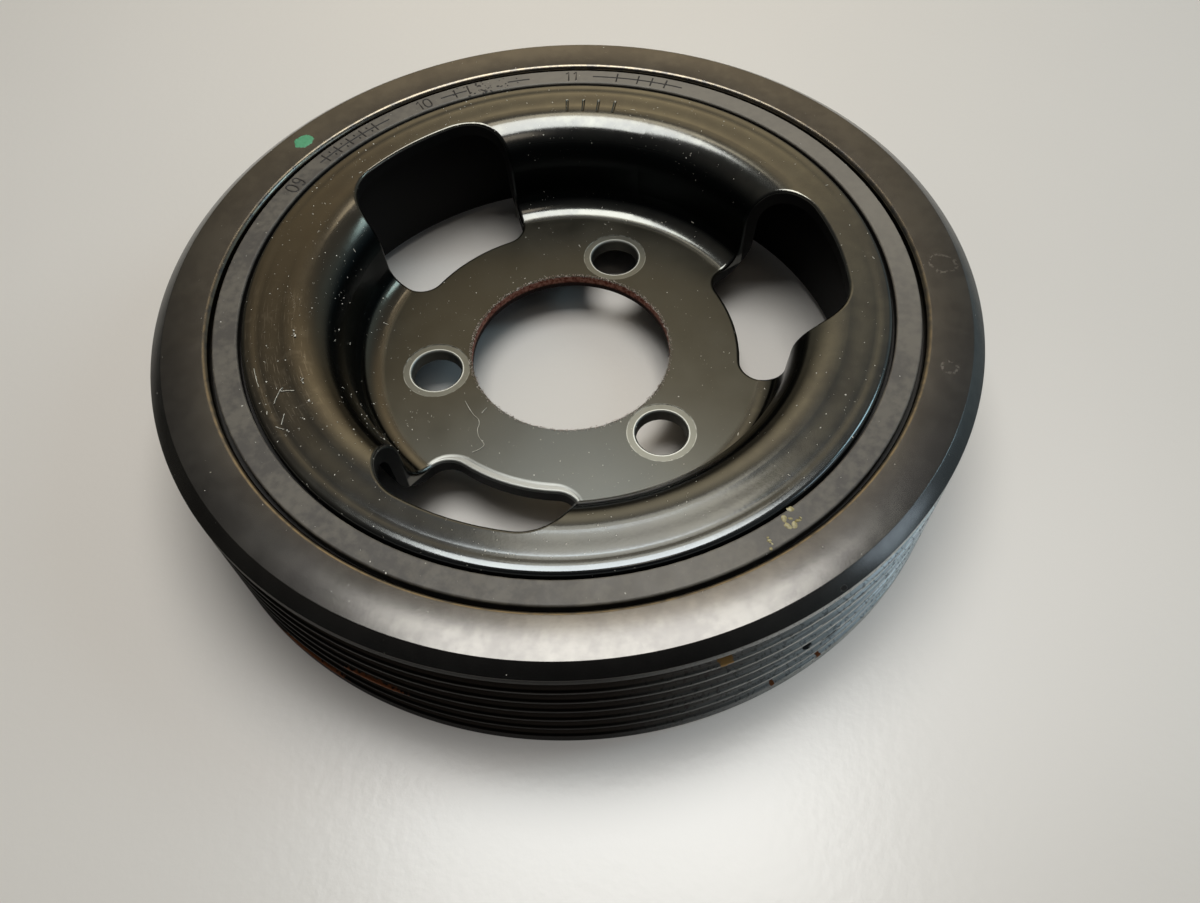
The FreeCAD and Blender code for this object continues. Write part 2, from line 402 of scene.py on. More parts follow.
@dataclass(frozen=True)
class CoatedSteel:
    """Dark oiled phosphate over pressed sheet.

    The eye sees a deep olive black with soft mirror-like streaks of the lamp, greyer rings where
    bolt heads sat, and bare red-brown metal in the bore. Painted into the colour are the shade that
    keeps cut edges, insides and the cup's steep wall black, a warm reflection tint on the left and a
    cool one at the front, a sheen on the back of the shoulder and a highlight by the front window.
    """

    dark: str = "#5f605f"
    light: str = "#6c6d69"
    plate: str = "#4e4b41"
    plate_front: str = "#5a5c59"
    # Painted shade: near-black colour of the cup's steep wall.
    wall: str = "#242727"
    # Painted shade: near-black colour of cut edges and insides.
    inside: str = "#0d0d0d"
    seat: str = "#8f9088"
    seat_rim: str = "#cfd1cb"
    hole_wall: str = "#4c4b46"
    rust: str = "#6a382e"
    rust_light: str = "#a0705f"
    bore_bottom_dark: str = "#1d110e"
    scratch: str = "#a39c90"
    brown: str = "#625a4c"
    grey: str = "#606467"
    back_sheen: str = "#8c8674"
    edge_highlight: str = "#a4a5a1"
    roll_width: float = 1.0  # of the rolled edge at the front window, in millimetres
    roll_fade: float = 0.6
    roll_drop: float = 0.09
    stamp_places: tuple[float, ...] = (88.8, 85.0, 81.5, 77.7)
    # seen middle, half width and fade of each sector, in degrees
    brown_sector: tuple[float, float, float] = (172.0, 45.0, 35.0)
    grey_sector: tuple[float, float, float] = (-85.0, 30.0, 25.0)
    back_sector: tuple[float, float, float] = (62.0, 45.0, 25.0)
    front_sector: tuple[float, float, float] = (-95.0, 40.0, 35.0)
    scratch_sector: tuple[float, float, float] = (-163.0, 16.0, 12.0)

    def build(self, hub: HubSizes) -> Material:
        """Returns the material for the hub.

        Args:
            hub: places on the hub.

        Returns:
            The material.
        """
        s = Surface("dark_coated_steel")
        base = s.colour(s.mottled(16.0, 2.2, 0.6), linear(self.dark), linear(self.light))
        # Painted reflection tints: warm brown over the left, cool grey over the front.
        for sector, side_tone in ((self.brown_sector, self.brown), (self.grey_sector, self.grey)):
            base = s.colour(s.math("MULTIPLY", s.sector(*sector), 0.8), base, linear(side_tone))
        # Painted sheen: the shoulder is lighter on its back.
        back = s.math("MULTIPLY", s.sector(*self.back_sector), s.between(s.radius, 42.5, 50.5, 1.5))
        base = s.colour(s.math("MULTIPLY", back, 0.35), base, linear(self.back_sheen))
        rough = s.blend(s.noise(5.0, 5.0), 0.1, 0.2)

        marks = self.scratches(s)
        base = s.colour(marks, base, linear(self.scratch))
        rough = s.blend(marks, rough, 0.5)

        low = s.rise(s.z, hub.plate_top + 0.5, hub.plate_top + 0.2)
        flat_plate = s.math("MULTIPLY", low, s.rise(s.radius, 33.2, 32.0))
        # Painted reflection tint: the flat plate is greyer at the front and browner elsewhere.
        front = s.sector(*self.front_sector)
        tone = s.colour(front, linear(self.plate), linear(self.plate_front))
        base = s.colour(s.math("MULTIPLY", flat_plate, 0.85), base, tone)
        rough = s.blend(flat_plate, rough, s.blend(s.noise(6.0, 5.0), 0.24, 0.42))
        # Painted shade: the cup's steep wall is made near black and duller.
        over_bend = s.rise(s.z, hub.plate_top + 1.3, hub.plate_top + 2.2)
        wall = s.math("MULTIPLY", over_bend, s.rise(s.radius, 39.7, 37.7))
        base = s.colour(wall, base, linear(self.wall))
        rough = s.blend(wall, rough, 0.32)

        # Along the front window's inner edge the bump below rolls the plate down, and a painted highlight
        # lightens its colour.
        from_end = s.math("SUBTRACT", self.roll_width, self.from_front_window(s, hub))
        nearness = s.math("DIVIDE", from_end, self.roll_fade)
        nearness = s.math("MINIMUM", s.math("MAXIMUM", nearness, 0.0), 1.0)
        rolled = s.math("MULTIPLY", nearness, flat_plate)
        base = s.colour(s.math("MULTIPLY", rolled, 0.7), base, linear(self.edge_highlight))
        rough = s.blend(rolled, rough, 0.42)

        hole = self.from_hole(s, hub)
        level = s.between(s.z, hub.plate_top - 0.6, hub.plate_top + 0.2, 0.1)
        in_seat = s.rise(hole, hub.seat_radius + 0.1, hub.seat_radius - 0.1)
        seat = s.math("MULTIPLY", in_seat, level)
        base = s.colour(s.math("MULTIPLY", seat, 0.6), base, linear(self.seat))
        rough = s.blend(seat, rough, s.blend(s.noise(1.2, 4.0), 0.28, 0.4))
        # A broken pale line at the seat's edge, and a painted highlight round the hole's edge.
        rim = s.between(hole, hub.seat_radius - 0.1, hub.seat_radius + 0.03, 0.05)
        lit = s.math("MULTIPLY", s.between(hole, hub.bolt_hole + 0.06, hub.bolt_hole + 0.46, 0.05), level)
        line = s.math("MULTIPLY", s.math("MULTIPLY", rim, level), s.rise(s.noise(0.9, 3.0), 0.35, 0.6))
        rims = s.math("MAXIMUM", s.math("MULTIPLY", line, 0.5), s.math("MULTIPLY", lit, 0.9))
        base = s.colour(rims, base, linear(self.seat_rim))
        rough = s.blend(lit, rough, 0.5)

        # Painted shade: cut edges and all that lies under the front skin go near black, with a weaker
        # mirror, except the seats; the bolt holes' walls get a mid grey instead.
        deep = s.math("MULTIPLY", s.rise(self.depth(s, hub), 0.2, 0.5), s.math("SUBTRACT", 1.0, seat))
        base = s.colour(deep, base, linear(self.inside))
        in_hole = s.rise(hole, hub.bolt_hole + 0.3, hub.bolt_hole + 0.05)
        base = s.colour(in_hole, base, linear(self.hole_wall))
        deep = s.math("MULTIPLY", deep, s.math("SUBTRACT", 1.0, in_hole))
        rough = s.blend(s.math("MAXIMUM", deep, in_hole), rough, 0.6)

        in_plate = s.between(s.z, hub.plate_top - hub.sheet, hub.plate_top - 0.1, 0.05)
        on_wall = s.rise(s.radius, hub.bore_radius + 0.25, hub.bore_radius + 0.08)
        bore = s.math("MULTIPLY", on_wall, in_plate)
        speckled = s.rise(s.noise(0.6, 5.0), 0.35, 0.65)
        rust = s.colour(speckled, linear(self.rust), linear(self.rust_light))
        # Darker towards the bottom of the bore's wall.
        lower_bore = s.rise(s.z, hub.plate_top - 1.2, hub.plate_top - 1.8)
        rust = s.colour(lower_bore, rust, linear(self.bore_bottom_dark))
        base = s.colour(bore, base, rust)
        rough = s.blend(bore, rough, 0.8)
        metal = s.math("MULTIPLY", s.blend(bore, 1.0, 0.1), s.math("SUBTRACT", 1.0, deep))
        gloss = s.blend(deep, 0.5, 0.12)

        orange_peel = s.bump(s.noise(0.5, 2.0), 0.0035)
        rippled = s.bump(self.ripples(s), 1.0, orange_peel)
        edge = s.bump(s.math("POWER", rolled, 2.0), -self.roll_drop, rippled)
        stamped = s.bump(self.stamps(s), -0.25, edge)
        pitted = s.bump(s.math("MULTIPLY", bore, s.noise(0.35, 4.0)), 0.16, stamped)
        looks = {"Base_Color": base, "Metallic": metal, "Roughness": rough}
        return s.finish(**looks, Specular_IOR_Level=gloss, Normal=pitted)

    @staticmethod
    def depth(s: Surface, hub: HubSizes) -> Socket:
        """Returns how deep a point lies under the front skin, in millimetres.

        Args:
            s: the material under construction.
            hub: places on the hub.

        Returns:
            The socket that carries it.
        """
        across = s.math("MINIMUM", s.math("SUBTRACT", s.radius, hub.bend_end), 0.0)
        upward = s.math("MAXIMUM", s.math("SUBTRACT", s.z, hub.shoulder_top - hub.head_round), 0.0)
        corner = s.math("SQRT", s.math("ADD", s.math("POWER", across, 2.0), s.math("POWER", upward, 2.0)))
        under_bend = s.math("SUBTRACT", hub.head_round, corner)
        under_plate = s.math("SUBTRACT", hub.plate_top, s.z)
        return s.math("MAXIMUM", under_bend, under_plate)

    @staticmethod
    def from_front_window(s: Surface, hub: HubSizes) -> Socket:
        """Returns the distance in millimetres, along the plate, to the front window's inner edge.

        Args:
            s: the material under construction.
            hub: places on the hub.

        Returns:
            The socket that carries it.
        """
        turned = s.math("WRAP", s.math("SUBTRACT", s.seen, hub.front_window), 180.0, -180.0)
        aside = s.math("MULTIPLY", s.math("ABSOLUTE", turned), math.radians(1.0))
        past_side = s.math("MULTIPLY", s.math("SUBTRACT", aside, hub.window_half), s.radius)
        across = s.math("MAXIMUM", s.math("ADD", past_side, hub.window_round), 0.0)
        inward = s.math("SUBTRACT", hub.window_inner + hub.window_round, s.radius)
        inward = s.math("MAXIMUM", inward, 0.0)
        squares = s.math("ADD", s.math("POWER", across, 2.0), s.math("POWER", inward, 2.0))
        return s.math("SUBTRACT", s.math("SQRT", squares), hub.window_round)

    @staticmethod
    def from_hole(s: Surface, hub: HubSizes) -> Socket:
        """Returns the distance to the nearest bolt hole's axis, in millimetres.

        Args:
            s: the material under construction.
            hub: places on the hub.

        Returns:
            The socket that carries it.
        """
        nearest: float | Socket = hub.skirt_radius
        for i in range(hub.bolt_count):
            angle = 2 * math.pi * i / hub.bolt_count
            centre = Vector((math.cos(angle), math.sin(angle), 0)) * hub.bolt_circle
            away = s.add("ShaderNodeVectorMath", {0: s.flat, 1: centre}, operation="DISTANCE")
            nearest = s.math("MINIMUM", nearest, away.outputs["Value"])
        return nearest

    def scratches(self, s: Surface) -> Socket:
        """Returns the rub marks and dust smears on the left of the shoulder.

        Args:
            s: the material under construction.

        Returns:
            The socket that carries it.
        """
        left = s.sector(*self.scratch_sector)
        on_top = s.between(s.radius, 41.0, 51.0, 1.0)
        area = s.math("MULTIPLY", left, on_top)
        cloud = s.rise(s.noise(3.2, 6.0, Distortion=1.6), 0.56, 0.72)
        hairlines = s.rise(s.noise(0.5, 3.0, s.stretched(0.12, 3.0)), 0.6, 0.66)
        smears = s.math("MULTIPLY", area, s.math("MULTIPLY", cloud, 0.16))
        return s.math("MAXIMUM", smears, s.math("MULTIPLY", s.math("MULTIPLY", area, hairlines), 0.3))

    def stamps(self, s: Surface) -> Socket:
        """Returns four short radial strokes pressed into the shoulder.

        Args:
            s: the material under construction.

        Returns:
            The socket that carries it.
        """
        total: float | Socket = 0.0
        for seen in self.stamp_places:
            total = s.math("MAXIMUM", total, s.sector(seen, 0.22, 0.16))
        return s.math("MULTIPLY", total, s.between(s.radius, 43.3, 46.3, 0.25))

    @staticmethod
    def ripples(s: Surface) -> Socket:
        """Returns the height in millimetres of the two soft forming steps on the shoulder.

        Args:
            s: the material under construction.

        Returns:
            The socket that carries it.
        """
        inner = s.math("MULTIPLY", s.rise(s.radius, 44.9, 48.3), 0.16)
        outer = s.math("MULTIPLY", s.rise(s.radius, 48.4, 49.9), 0.1)
        return s.math("ADD", inner, outer)


@dataclass(frozen=True)
class Blot:
    """One stain on the ribs: seen angle, height over the floor, half length and half height in mm."""

    seen: float
    height: float
    long: float
    tall: float


@dataclass(frozen=True)
class DarkenedRing:
    """Turned iron with a dark brown phosphate, worn to steel on the ribs.

    The eye sees a satin bronze-brown face, a smoother teal-black chamfer, and near-black ribs
    with thin worn crests, brighter and scratched where the belt ran last. The ribs' flanks are painted
    lighter and their lands darker, standing in for light and shade, and the bevel at the bore is
    lighter, partly from dust and wear and partly as a painted sheen.
    """

    face: str = "#605e5c"
    face_light: str = "#6a6865"
    rib: str = "#544d48"
    land: str = "#181614"
    crest: str = "#2e2a27"
    worn: str = "#dadede"
    inner_edge: str = "#938874"
    rust: str = "#7a4218"
    tan: str = "#a9814a"
    dent: str = "#0c0b0b"
    scuff: str = "#8f8981"
    run_slant: float = 0.65  # degrees that the bright run's end leans for each mm of height
    rust_blots: tuple[Blot, ...] = (
        Blot(-57.1, 2.4, 0.5, 0.45),
        Blot(-64.5, 2.4, 0.4, 0.4),
        Blot(-71.5, 17.6, 0.6, 0.5),
        Blot(-133.0, 1.6, 4.5, 0.4),
        Blot(-129.2, 2.4, 4.5, 0.4),
        Blot(-125.0, 2.2, 3.5, 0.5),
        Blot(-116.0, 9.5, 5.0, 0.3),
    )
    tan_blots: tuple[Blot, ...] = (Blot(-72.6, 20.6, 1.0, 0.8), Blot(-50.2, 4.0, 2.6, 0.9))
    dents: tuple[Blot, ...] = (
        Blot(-56.5, 9.3, 1.5, 0.3),
        Blot(-66.1, 12.2, 0.9, 0.3),
        Blot(-57.3, 24.9, 0.6, 0.2),
        Blot(-64.6, 21.5, 0.5, 0.25),
        Blot(-60.0, 9.9, 0.8, 0.3),
    )

    def build(self, ring: RingSizes) -> Material:
        """Returns the material for the heavy ring.

        Args:
            ring: places on the heavy ring.

        Returns:
            The material.
        """
        s = Surface("darkened_turned_iron")
        base = s.colour(s.mottled(11.0, 1.8, 0.55), linear(self.face), linear(self.face_light))
        rough = s.blend(s.noise(4.0, 4.0), 0.17, 0.26)
        scuffs = self.scuffs(s, ring)
        base = s.colour(s.math("MULTIPLY", scuffs, 0.35), base, linear(self.scuff))
        rough = s.blend(scuffs, rough, 0.4)

        edge = ring.height - ring.chamfer_drop
        outside = s.rise(s.radius, ring.bore + 3.0, ring.bore + 4.0)
        # On the ribs the flanks are painted lighter, standing in for light in the grooves, and the lands
        # darker, which dims their reflection.
        rib = s.math("MULTIPLY", s.rise(s.z, edge + 0.1, edge - 0.2), outside)
        land = s.rise(s.radius, ring.radius - 0.5, ring.radius - 0.25)
        base = s.colour(rib, base, s.colour(land, linear(self.rib), linear(self.land)))
        rough = s.blend(rib, rough, 0.58)
        # The bevel at the bore is lighter: partly dust and wear, partly a painted sheen.
        by_bore = s.rise(s.radius, ring.bore + 0.85, ring.bore + 0.6)
        inner_edge = s.math("MULTIPLY", by_bore, s.rise(s.noise(1.4, 4.0), 0.3, 0.6))
        base = s.colour(s.math("MULTIPLY", inner_edge, 0.6), base, linear(self.inner_edge))

        worn, crest = self.wear(s, ring)
        base = s.colour(s.math("MULTIPLY", crest, rib), base, linear(self.crest))
        base = s.colour(s.math("MULTIPLY", worn, rib), base, linear(self.worn))
        rough = s.blend(s.math("MULTIPLY", worn, rib), rough, 0.3)

        frayed = s.noise(0.6, 4.0)
        tan = self.blots(s, ring, self.tan_blots, frayed)
        rust = self.blots(s, ring, self.rust_blots, frayed)
        dent = self.blots(s, ring, self.dents, frayed)
        base = s.colour(dent, base, linear(self.dent))
        base = s.colour(rust, base, linear(self.rust))
        base = s.colour(tan, base, linear(self.tan))
        dull = s.math("MAXIMUM", s.math("MAXIMUM", rust, tan), dent)
        rough = s.blend(dull, rough, 0.85)
        metal = s.blend(dull, 1.0, 0.0)

        turning = s.bump(s.noise(0.12, 2.0, s.stretched(0.004, 1.0)), 0.0014)
        grain = s.bump(s.noise(0.4, 3.0), 0.0028, turning)
        scars = s.bump(s.math("MULTIPLY", rib, s.noise(0.25, 4.0, s.stretched(0.25, 1.5))), 0.03, grain)
        return s.finish(Base_Color=base, Metallic=metal, Roughness=rough, Normal=scars)

    def wear(self, s: Surface, ring: RingSizes) -> tuple[Socket, Socket]:
        """Returns where the ribs are rubbed bright, and where their crests are only dulled.

        Args:
            s: the material under construction.
            ring: places on the heavy ring.

        Returns:
            The bright wear and the dulled crests, each from 0 to 1.
        """
        slanted = s.math("ADD", s.seen, s.math("MULTIPLY", s.z, self.run_slant))
        run = s.math("MULTIPLY", s.rise(s.seen, -90.0, -46.0), s.rise(slanted, -15.0, -27.0))
        fine = s.rise(s.noise(1.0, 4.0, s.stretched(0.14, 6.0)), 0.42, 0.6)
        coarse = s.rise(s.noise(2.0, 4.0, s.stretched(0.2, 2.0)), 0.3, 0.6)
        pits = s.rise(s.noise(0.5, 3.0), 0.36, 0.46)
        rubbed = s.math("MULTIPLY_ADD", s.math("MULTIPLY", fine, coarse), 0.4, 0.6)
        worn = s.math("MULTIPLY", s.math("MULTIPLY", rubbed, s.blend(pits, 0.55, 1.0)), run)
        from_crest = s.math("PINGPONG", s.math("SUBTRACT", s.z, ring.back_land), ring.groove_pitch / 2)
        line = s.math("MULTIPLY", s.rise(from_crest, 0.3, 0.16), 0.5)
        left_land = s.math("MULTIPLY", s.between(s.z, 24.3, 24.55, 0.1), s.sector(-128.0, 10.0, 6.0))
        line = s.math("MAXIMUM", line, left_land)
        line = s.math("MULTIPLY", line, s.rise(s.radius, ring.radius - 0.4, ring.radius - 0.15))
        broken = s.rise(s.noise(3.0, 4.0, s.stretched(0.2, 0.6)), 0.3, 0.62)
        return worn, s.math("MULTIPLY", line, broken)

    @staticmethod
    def blots(s: Surface, ring: RingSizes, places: tuple[Blot, ...], frayed: Socket) -> Socket:
        """Returns 1 inside ragged oval stains on the outside of the ring.

        Args:
            s: the material under construction.
            ring: places on the heavy ring.
            places: the stains.
            frayed: noise that frays their edges.

        Returns:
            The socket that carries it.
        """
        mm_per_degree = math.radians(ring.radius)
        total: float | Socket = 0.0
        for blot in places:
            turned = s.math("SUBTRACT", s.seen, blot.seen)
            wrapped = s.math("WRAP", turned, 180.0, -180.0)
            along = s.math("MULTIPLY", wrapped, mm_per_degree / blot.long)
            across = s.math("DIVIDE", s.math("SUBTRACT", s.z, blot.height), blot.tall)
            away = s.math("SQRT", s.math("ADD", s.math("POWER", along, 2.0), s.math("POWER", across, 2.0)))
            reach = s.math("ADD", away, s.math("MULTIPLY", frayed, 1.6))
            total = s.math("MAXIMUM", total, s.rise(reach, 1.95, 1.6))
        return s.math("MULTIPLY", total, s.rise(s.radius, ring.radius - 5.0, ring.radius - 3.5))

    @staticmethod
    def scuffs(s: Surface, ring: RingSizes) -> Socket:
        """Returns two faint rubbed rings on the face, one of them frayed.

        Args:
            s: the material under construction.
            ring: places on the heavy ring.

        Returns:
            The socket that carries it.
        """
        near = s.distance(Layout.place(59.8, -19.6, ring.height))
        ring_mark = s.between(near, 0.9, 1.3, 0.2)
        near = s.distance(Layout.place(60.2, 0.8, ring.height))
        frayed = s.math("ADD", near, s.math("MULTIPLY", s.noise(1.6, 2.0), 1.6))
        corner = s.between(frayed, 2.7, 3.1, 0.25)
        broken = s.rise(s.noise(0.8, 4.0), 0.4, 0.6)
        return s.math("MULTIPLY", s.math("MAXIMUM", ring_mark, corner), broken)


@dataclass(frozen=True)
class MouldedRubber:
    """Moulded rubber, dusty and matt.

    The eye sees a grey with a hint of mauve, cloudy where oil and dust lie. A painted sheen lightens
    it on the back, a patch at the front is lighter too, and painted shade makes it near black in
    the grooves beside the raised band.
    """

    clean: str = "#4c4844"
    dusty: str = "#635e56"
    side_tone: str = "#8b857b"
    groove: str = "#14110f"
    # seen middle, half width and fade of each lighter sector, in degrees; the back one is a painted sheen
    front_sector: tuple[float, float, float] = (-75.0, 14.0, 18.0)
    back_sector: tuple[float, float, float] = (55.0, 62.0, 30.0)

    def build(self, rubber: RubberSizes) -> Material:
        """Returns the material for the rubber ring.

        Args:
            rubber: places on the rubber ring.

        Returns:
            The material.
        """
        s = Surface("dusty_moulded_rubber")
        base = s.colour(s.mottled(8.0, 1.2, 0.5), linear(self.clean), linear(self.dusty))
        # Lighter on the back, a painted sheen, and in a patch at the front.
        in_front = s.math("MULTIPLY", s.sector(*self.front_sector), 0.7)
        lighter_sides = s.math("MAXIMUM", s.sector(*self.back_sector), in_front)
        base = s.colour(s.math("MULTIPLY", lighter_sides, 0.6), base, linear(self.side_tone))
        # Painted shade: near black in the grooves beside the raised band.
        deep = s.rise(s.z, rubber.top - 0.25, rubber.top - 0.6)
        base = s.colour(deep, base, linear(self.groove))
        rough = s.blend(s.noise(3.0, 3.0), 0.42, 0.6)
        skin = s.bump(s.noise(0.3, 3.0), 0.01)
        return s.finish(Base_Color=base, Roughness=rough, Normal=skin)


@dataclass(frozen=True)
class PaintMark:
    """A dab of green marking paint, streaky from the brush."""

    thin: str = "#3f8a63"
    thick: str = "#5fae84"

    def build(self) -> Material:
        """Returns the paint's material.

        Returns:
            The material.
        """
        s = Surface("green_marking_paint")
        streak = s.noise(0.5, 4.0)
        base = s.colour(streak, linear(self.thin), linear(self.thick))
        return s.finish(Base_Color=base, Roughness=s.blend(streak, 0.35, 0.6), Normal=s.bump(streak, 0.05))


@dataclass(frozen=True)
class Speck:
    """Loose bits: pale dust, lint, burrs, or dark rubber marks, told apart by colour."""

    name: str
    dark: str
    light: str
    roughness: float = 0.8
    metallic: float = 0.0

    def build(self) -> Material:
        """Returns the material.

        Returns:
            The material.
        """
        s = Surface(self.name)
        base = s.colour(s.rise(s.noise(0.8, 2.0), 0.35, 0.65), linear(self.dark), linear(self.light))
        return s.finish(Base_Color=base, Roughness=self.roughness, Metallic=self.metallic)


def rounded(corners: list[tuple[float, float, float]], steps: int = 3) -> list[tuple[float, float]]:
    """Rounds the corners of a closed section.

    Args:
        corners: radius, height and corner round of each corner, in millimetres.
        steps: how many runs each round gets.

    Returns:
        The section's points.
    """
    points = []
    count = len(corners)
    for i, (radius, height, size) in enumerate(corners):
        here = Vector((radius, height))
        if size <= 0:
            points.append((radius, height))
            continue
        back = (Vector(corners[i - 1][:2]) - here).normalized()
        ahead = (Vector(corners[(i + 1) % count][:2]) - here).normalized()
        half = back.angle(ahead) / 2
        start = here + back * size / math.tan(half)
        end = here + ahead * size / math.tan(half)
        centre = here + (back + ahead).normalized() * size / math.sin(half)
        for k in range(steps + 1):
            arm = (start - centre).lerp(end - centre, k / steps).normalized() * size
            points.append(tuple(centre + arm))
    return points


class Lathe:
    """Turns a closed section round the axis into a smooth dense mesh."""

    def __init__(self, section: list[tuple[float, float]], segments: int) -> None:
        self.section = np.array(section)
        self.segments = segments
        angles = np.linspace(0, 2 * math.pi, segments, endpoint=False)
        self.angles = np.repeat(angles[:, None], len(section), axis=1)
        self.radii = np.repeat(self.section[None, :, 0], segments, axis=0)
        self.heights = np.repeat(self.section[None, :, 1], segments, axis=0)

    def mesh(self, name: str) -> Mesh:
        """Returns the mesh, in metres, smooth with sharp edges at sharp turns.

        Args:
            name: its name.

        Returns:
            The mesh.
        """
        x, y = self.radii * np.cos(self.angles), self.radii * np.sin(self.angles)
        points = np.stack([x, y, self.heights], -1)
        rows, columns = self.radii.shape
        index = np.arange(rows * columns).reshape(rows, columns)
        ahead = np.roll(index, -1, axis=0)
        faces = np.stack([index, ahead, np.roll(ahead, -1, axis=1), np.roll(index, -1, axis=1)], -1)
        mesh = bpy.data.meshes.new(name)
        mesh.from_pydata((points.reshape(-1, 3) * MM).tolist(), [], faces.reshape(-1, 4).tolist())
        mesh.update()
        mesh.shade_smooth()
        mesh.set_sharp_from_angle(angle=math.radians(32))
        return mesh


def shown(name: str, mesh: Mesh, material: Material, slot: Finish) -> Piece:
    """Puts a mesh into the scene as a piece that rides on the pulley.

    Args:
        name: the piece's name.
        mesh: its mesh, in the solids' frame.
        material: its only material.
        slot: not used.

    Returns:
        The piece.
    """
    piece = bpy.data.objects.new(name, mesh)
    bpy.context.scene.collection.objects.link(piece)
    mesh.materials.clear()
    mesh.materials.append(material)
    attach(piece, "root")
    log.info("piece %s has %d faces", name, len(mesh.polygons))
    return piece


class HeavyRing:
    """The grooved ring, with its section as in the solids and nicks in its worn ribs."""

    def __init__(self, sizes: RingSizes, nicks: int = 30, seed: int = 7) -> None:
        self.sizes = sizes
        self.nicks = nicks
        self.rng = random.Random(seed)

    def section(self) -> list[tuple[float, float]]:
        """Returns the ring's section, from the bore's back end round the outside.

        Returns:
            Pairs of radius and height, in millimetres.
        """
        z = self.sizes
        corners = [(z.bore, z.bore_bevel, 0), (z.bore + z.bore_bevel, 0, 0)]
        corners += [(z.radius - z.back_chamfer, 0, 0), (z.radius, z.back_chamfer, 0)]
        half_root = z.groove_root / 2
        half_mouth = half_root + z.groove_depth * math.tan(math.radians(z.flank_angle))
        for i in range(z.groove_count):
            centre = z.back_land + (i + 0.5) * z.groove_pitch
            root = z.radius - z.groove_depth
            corners += [(z.radius, centre - half_mouth, z.crest_round)]
            corners += [(root, centre + side * half_root, z.groove_root_round) for side in (-1, 1)]
            corners += [(z.radius, centre + half_mouth, z.crest_round)]
        top = z.height - z.face_sink
        corners += [(z.radius, z.height - z.chamfer_drop, z.edge_round)]
        corners += [(z.radius - z.chamfer_width, top, z.edge_round)]
        corners += [(z.bore, top, z.bore_bevel)]
        return rounded(corners)

    def nick(self, lathe: Lathe, seen: float, height: float, size: float, depth: float) -> None:
        """Presses one small dent into the outside.

        Args:
            lathe: the turned ring.
            seen: its seen angle.
            height: its height over the floor.
            size: its half length.
            depth: its depth.
        """
        target = math.radians(seen + SEEN_TURN)
        along = (np.angle(np.exp(1j * (lathe.angles - target)))) * self.sizes.radius
        near = np.exp(-((along / size) ** 2) - ((lathe.heights - height) / (0.45 * size + 0.2)) ** 2)
        outside = np.clip((lathe.radii - self.sizes.radius + 1.4) / 1.2, 0, 1)
        lathe.radii -= depth * near * outside

    def build(self, material: Material) -> Piece:
        """Builds the ring in place of its solid.

        Args:
            material: the piece's material.

        Returns:
            The piece.
        """
        lathe = Lathe(self.section(), self.sizes.segments)
        for _ in range(self.nicks):
            seen, height = self.rng.gauss(-52.0, 14.0), self.rng.uniform(2.0, 24.0)
            self.nick(lathe, seen, height, self.rng.uniform(0.45, 0.9), self.rng.uniform(0.04, 0.14))
        for _ in range(self.nicks):
            seen, height = self.rng.uniform(-180.0, 180.0), self.rng.uniform(2.0, 24.5)
            self.nick(lathe, seen, height, self.rng.uniform(0.45, 0.7), self.rng.uniform(0.03, 0.08))
        piece = shown("grooved_ring", lathe.mesh("grooved_ring"), material, Finish.RING)
        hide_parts("pulley_ring")
        return piece


class ShoulderLip:
    """A fine skin over the outer round of the hub's shoulder, where solids are faceted."""

    LIFT = 0.012

    def __init__(self, hub: HubSizes) -> None:
        self.hub = hub

    def build(self, material: Material) -> Piece:
        """Builds the skin from the shoulder over its round and down into the moulded groove.

        Args:
            material: the piece's material.

        Returns:
            The piece.
        """
        hub, lift = self.hub, self.LIFT
        outside, top = hub.skirt_radius + lift, hub.shoulder_top + lift
        inner = hub.skirt_radius - hub.lip_round - 1.6
        corners = [(inner, top - 2 * lift, 0), (inner + 0.4, top, 0), (outside, top, hub.lip_round + lift)]
        corners += [(outside, hub.groove_bottom, 0), (hub.skirt_radius - 1.0, hub.groove_bottom, 0)]
        mesh = Lathe(rounded(corners, 8), 720).mesh("shoulder_lip")
        return shown("shoulder_lip", mesh, material, Finish.STEEL)


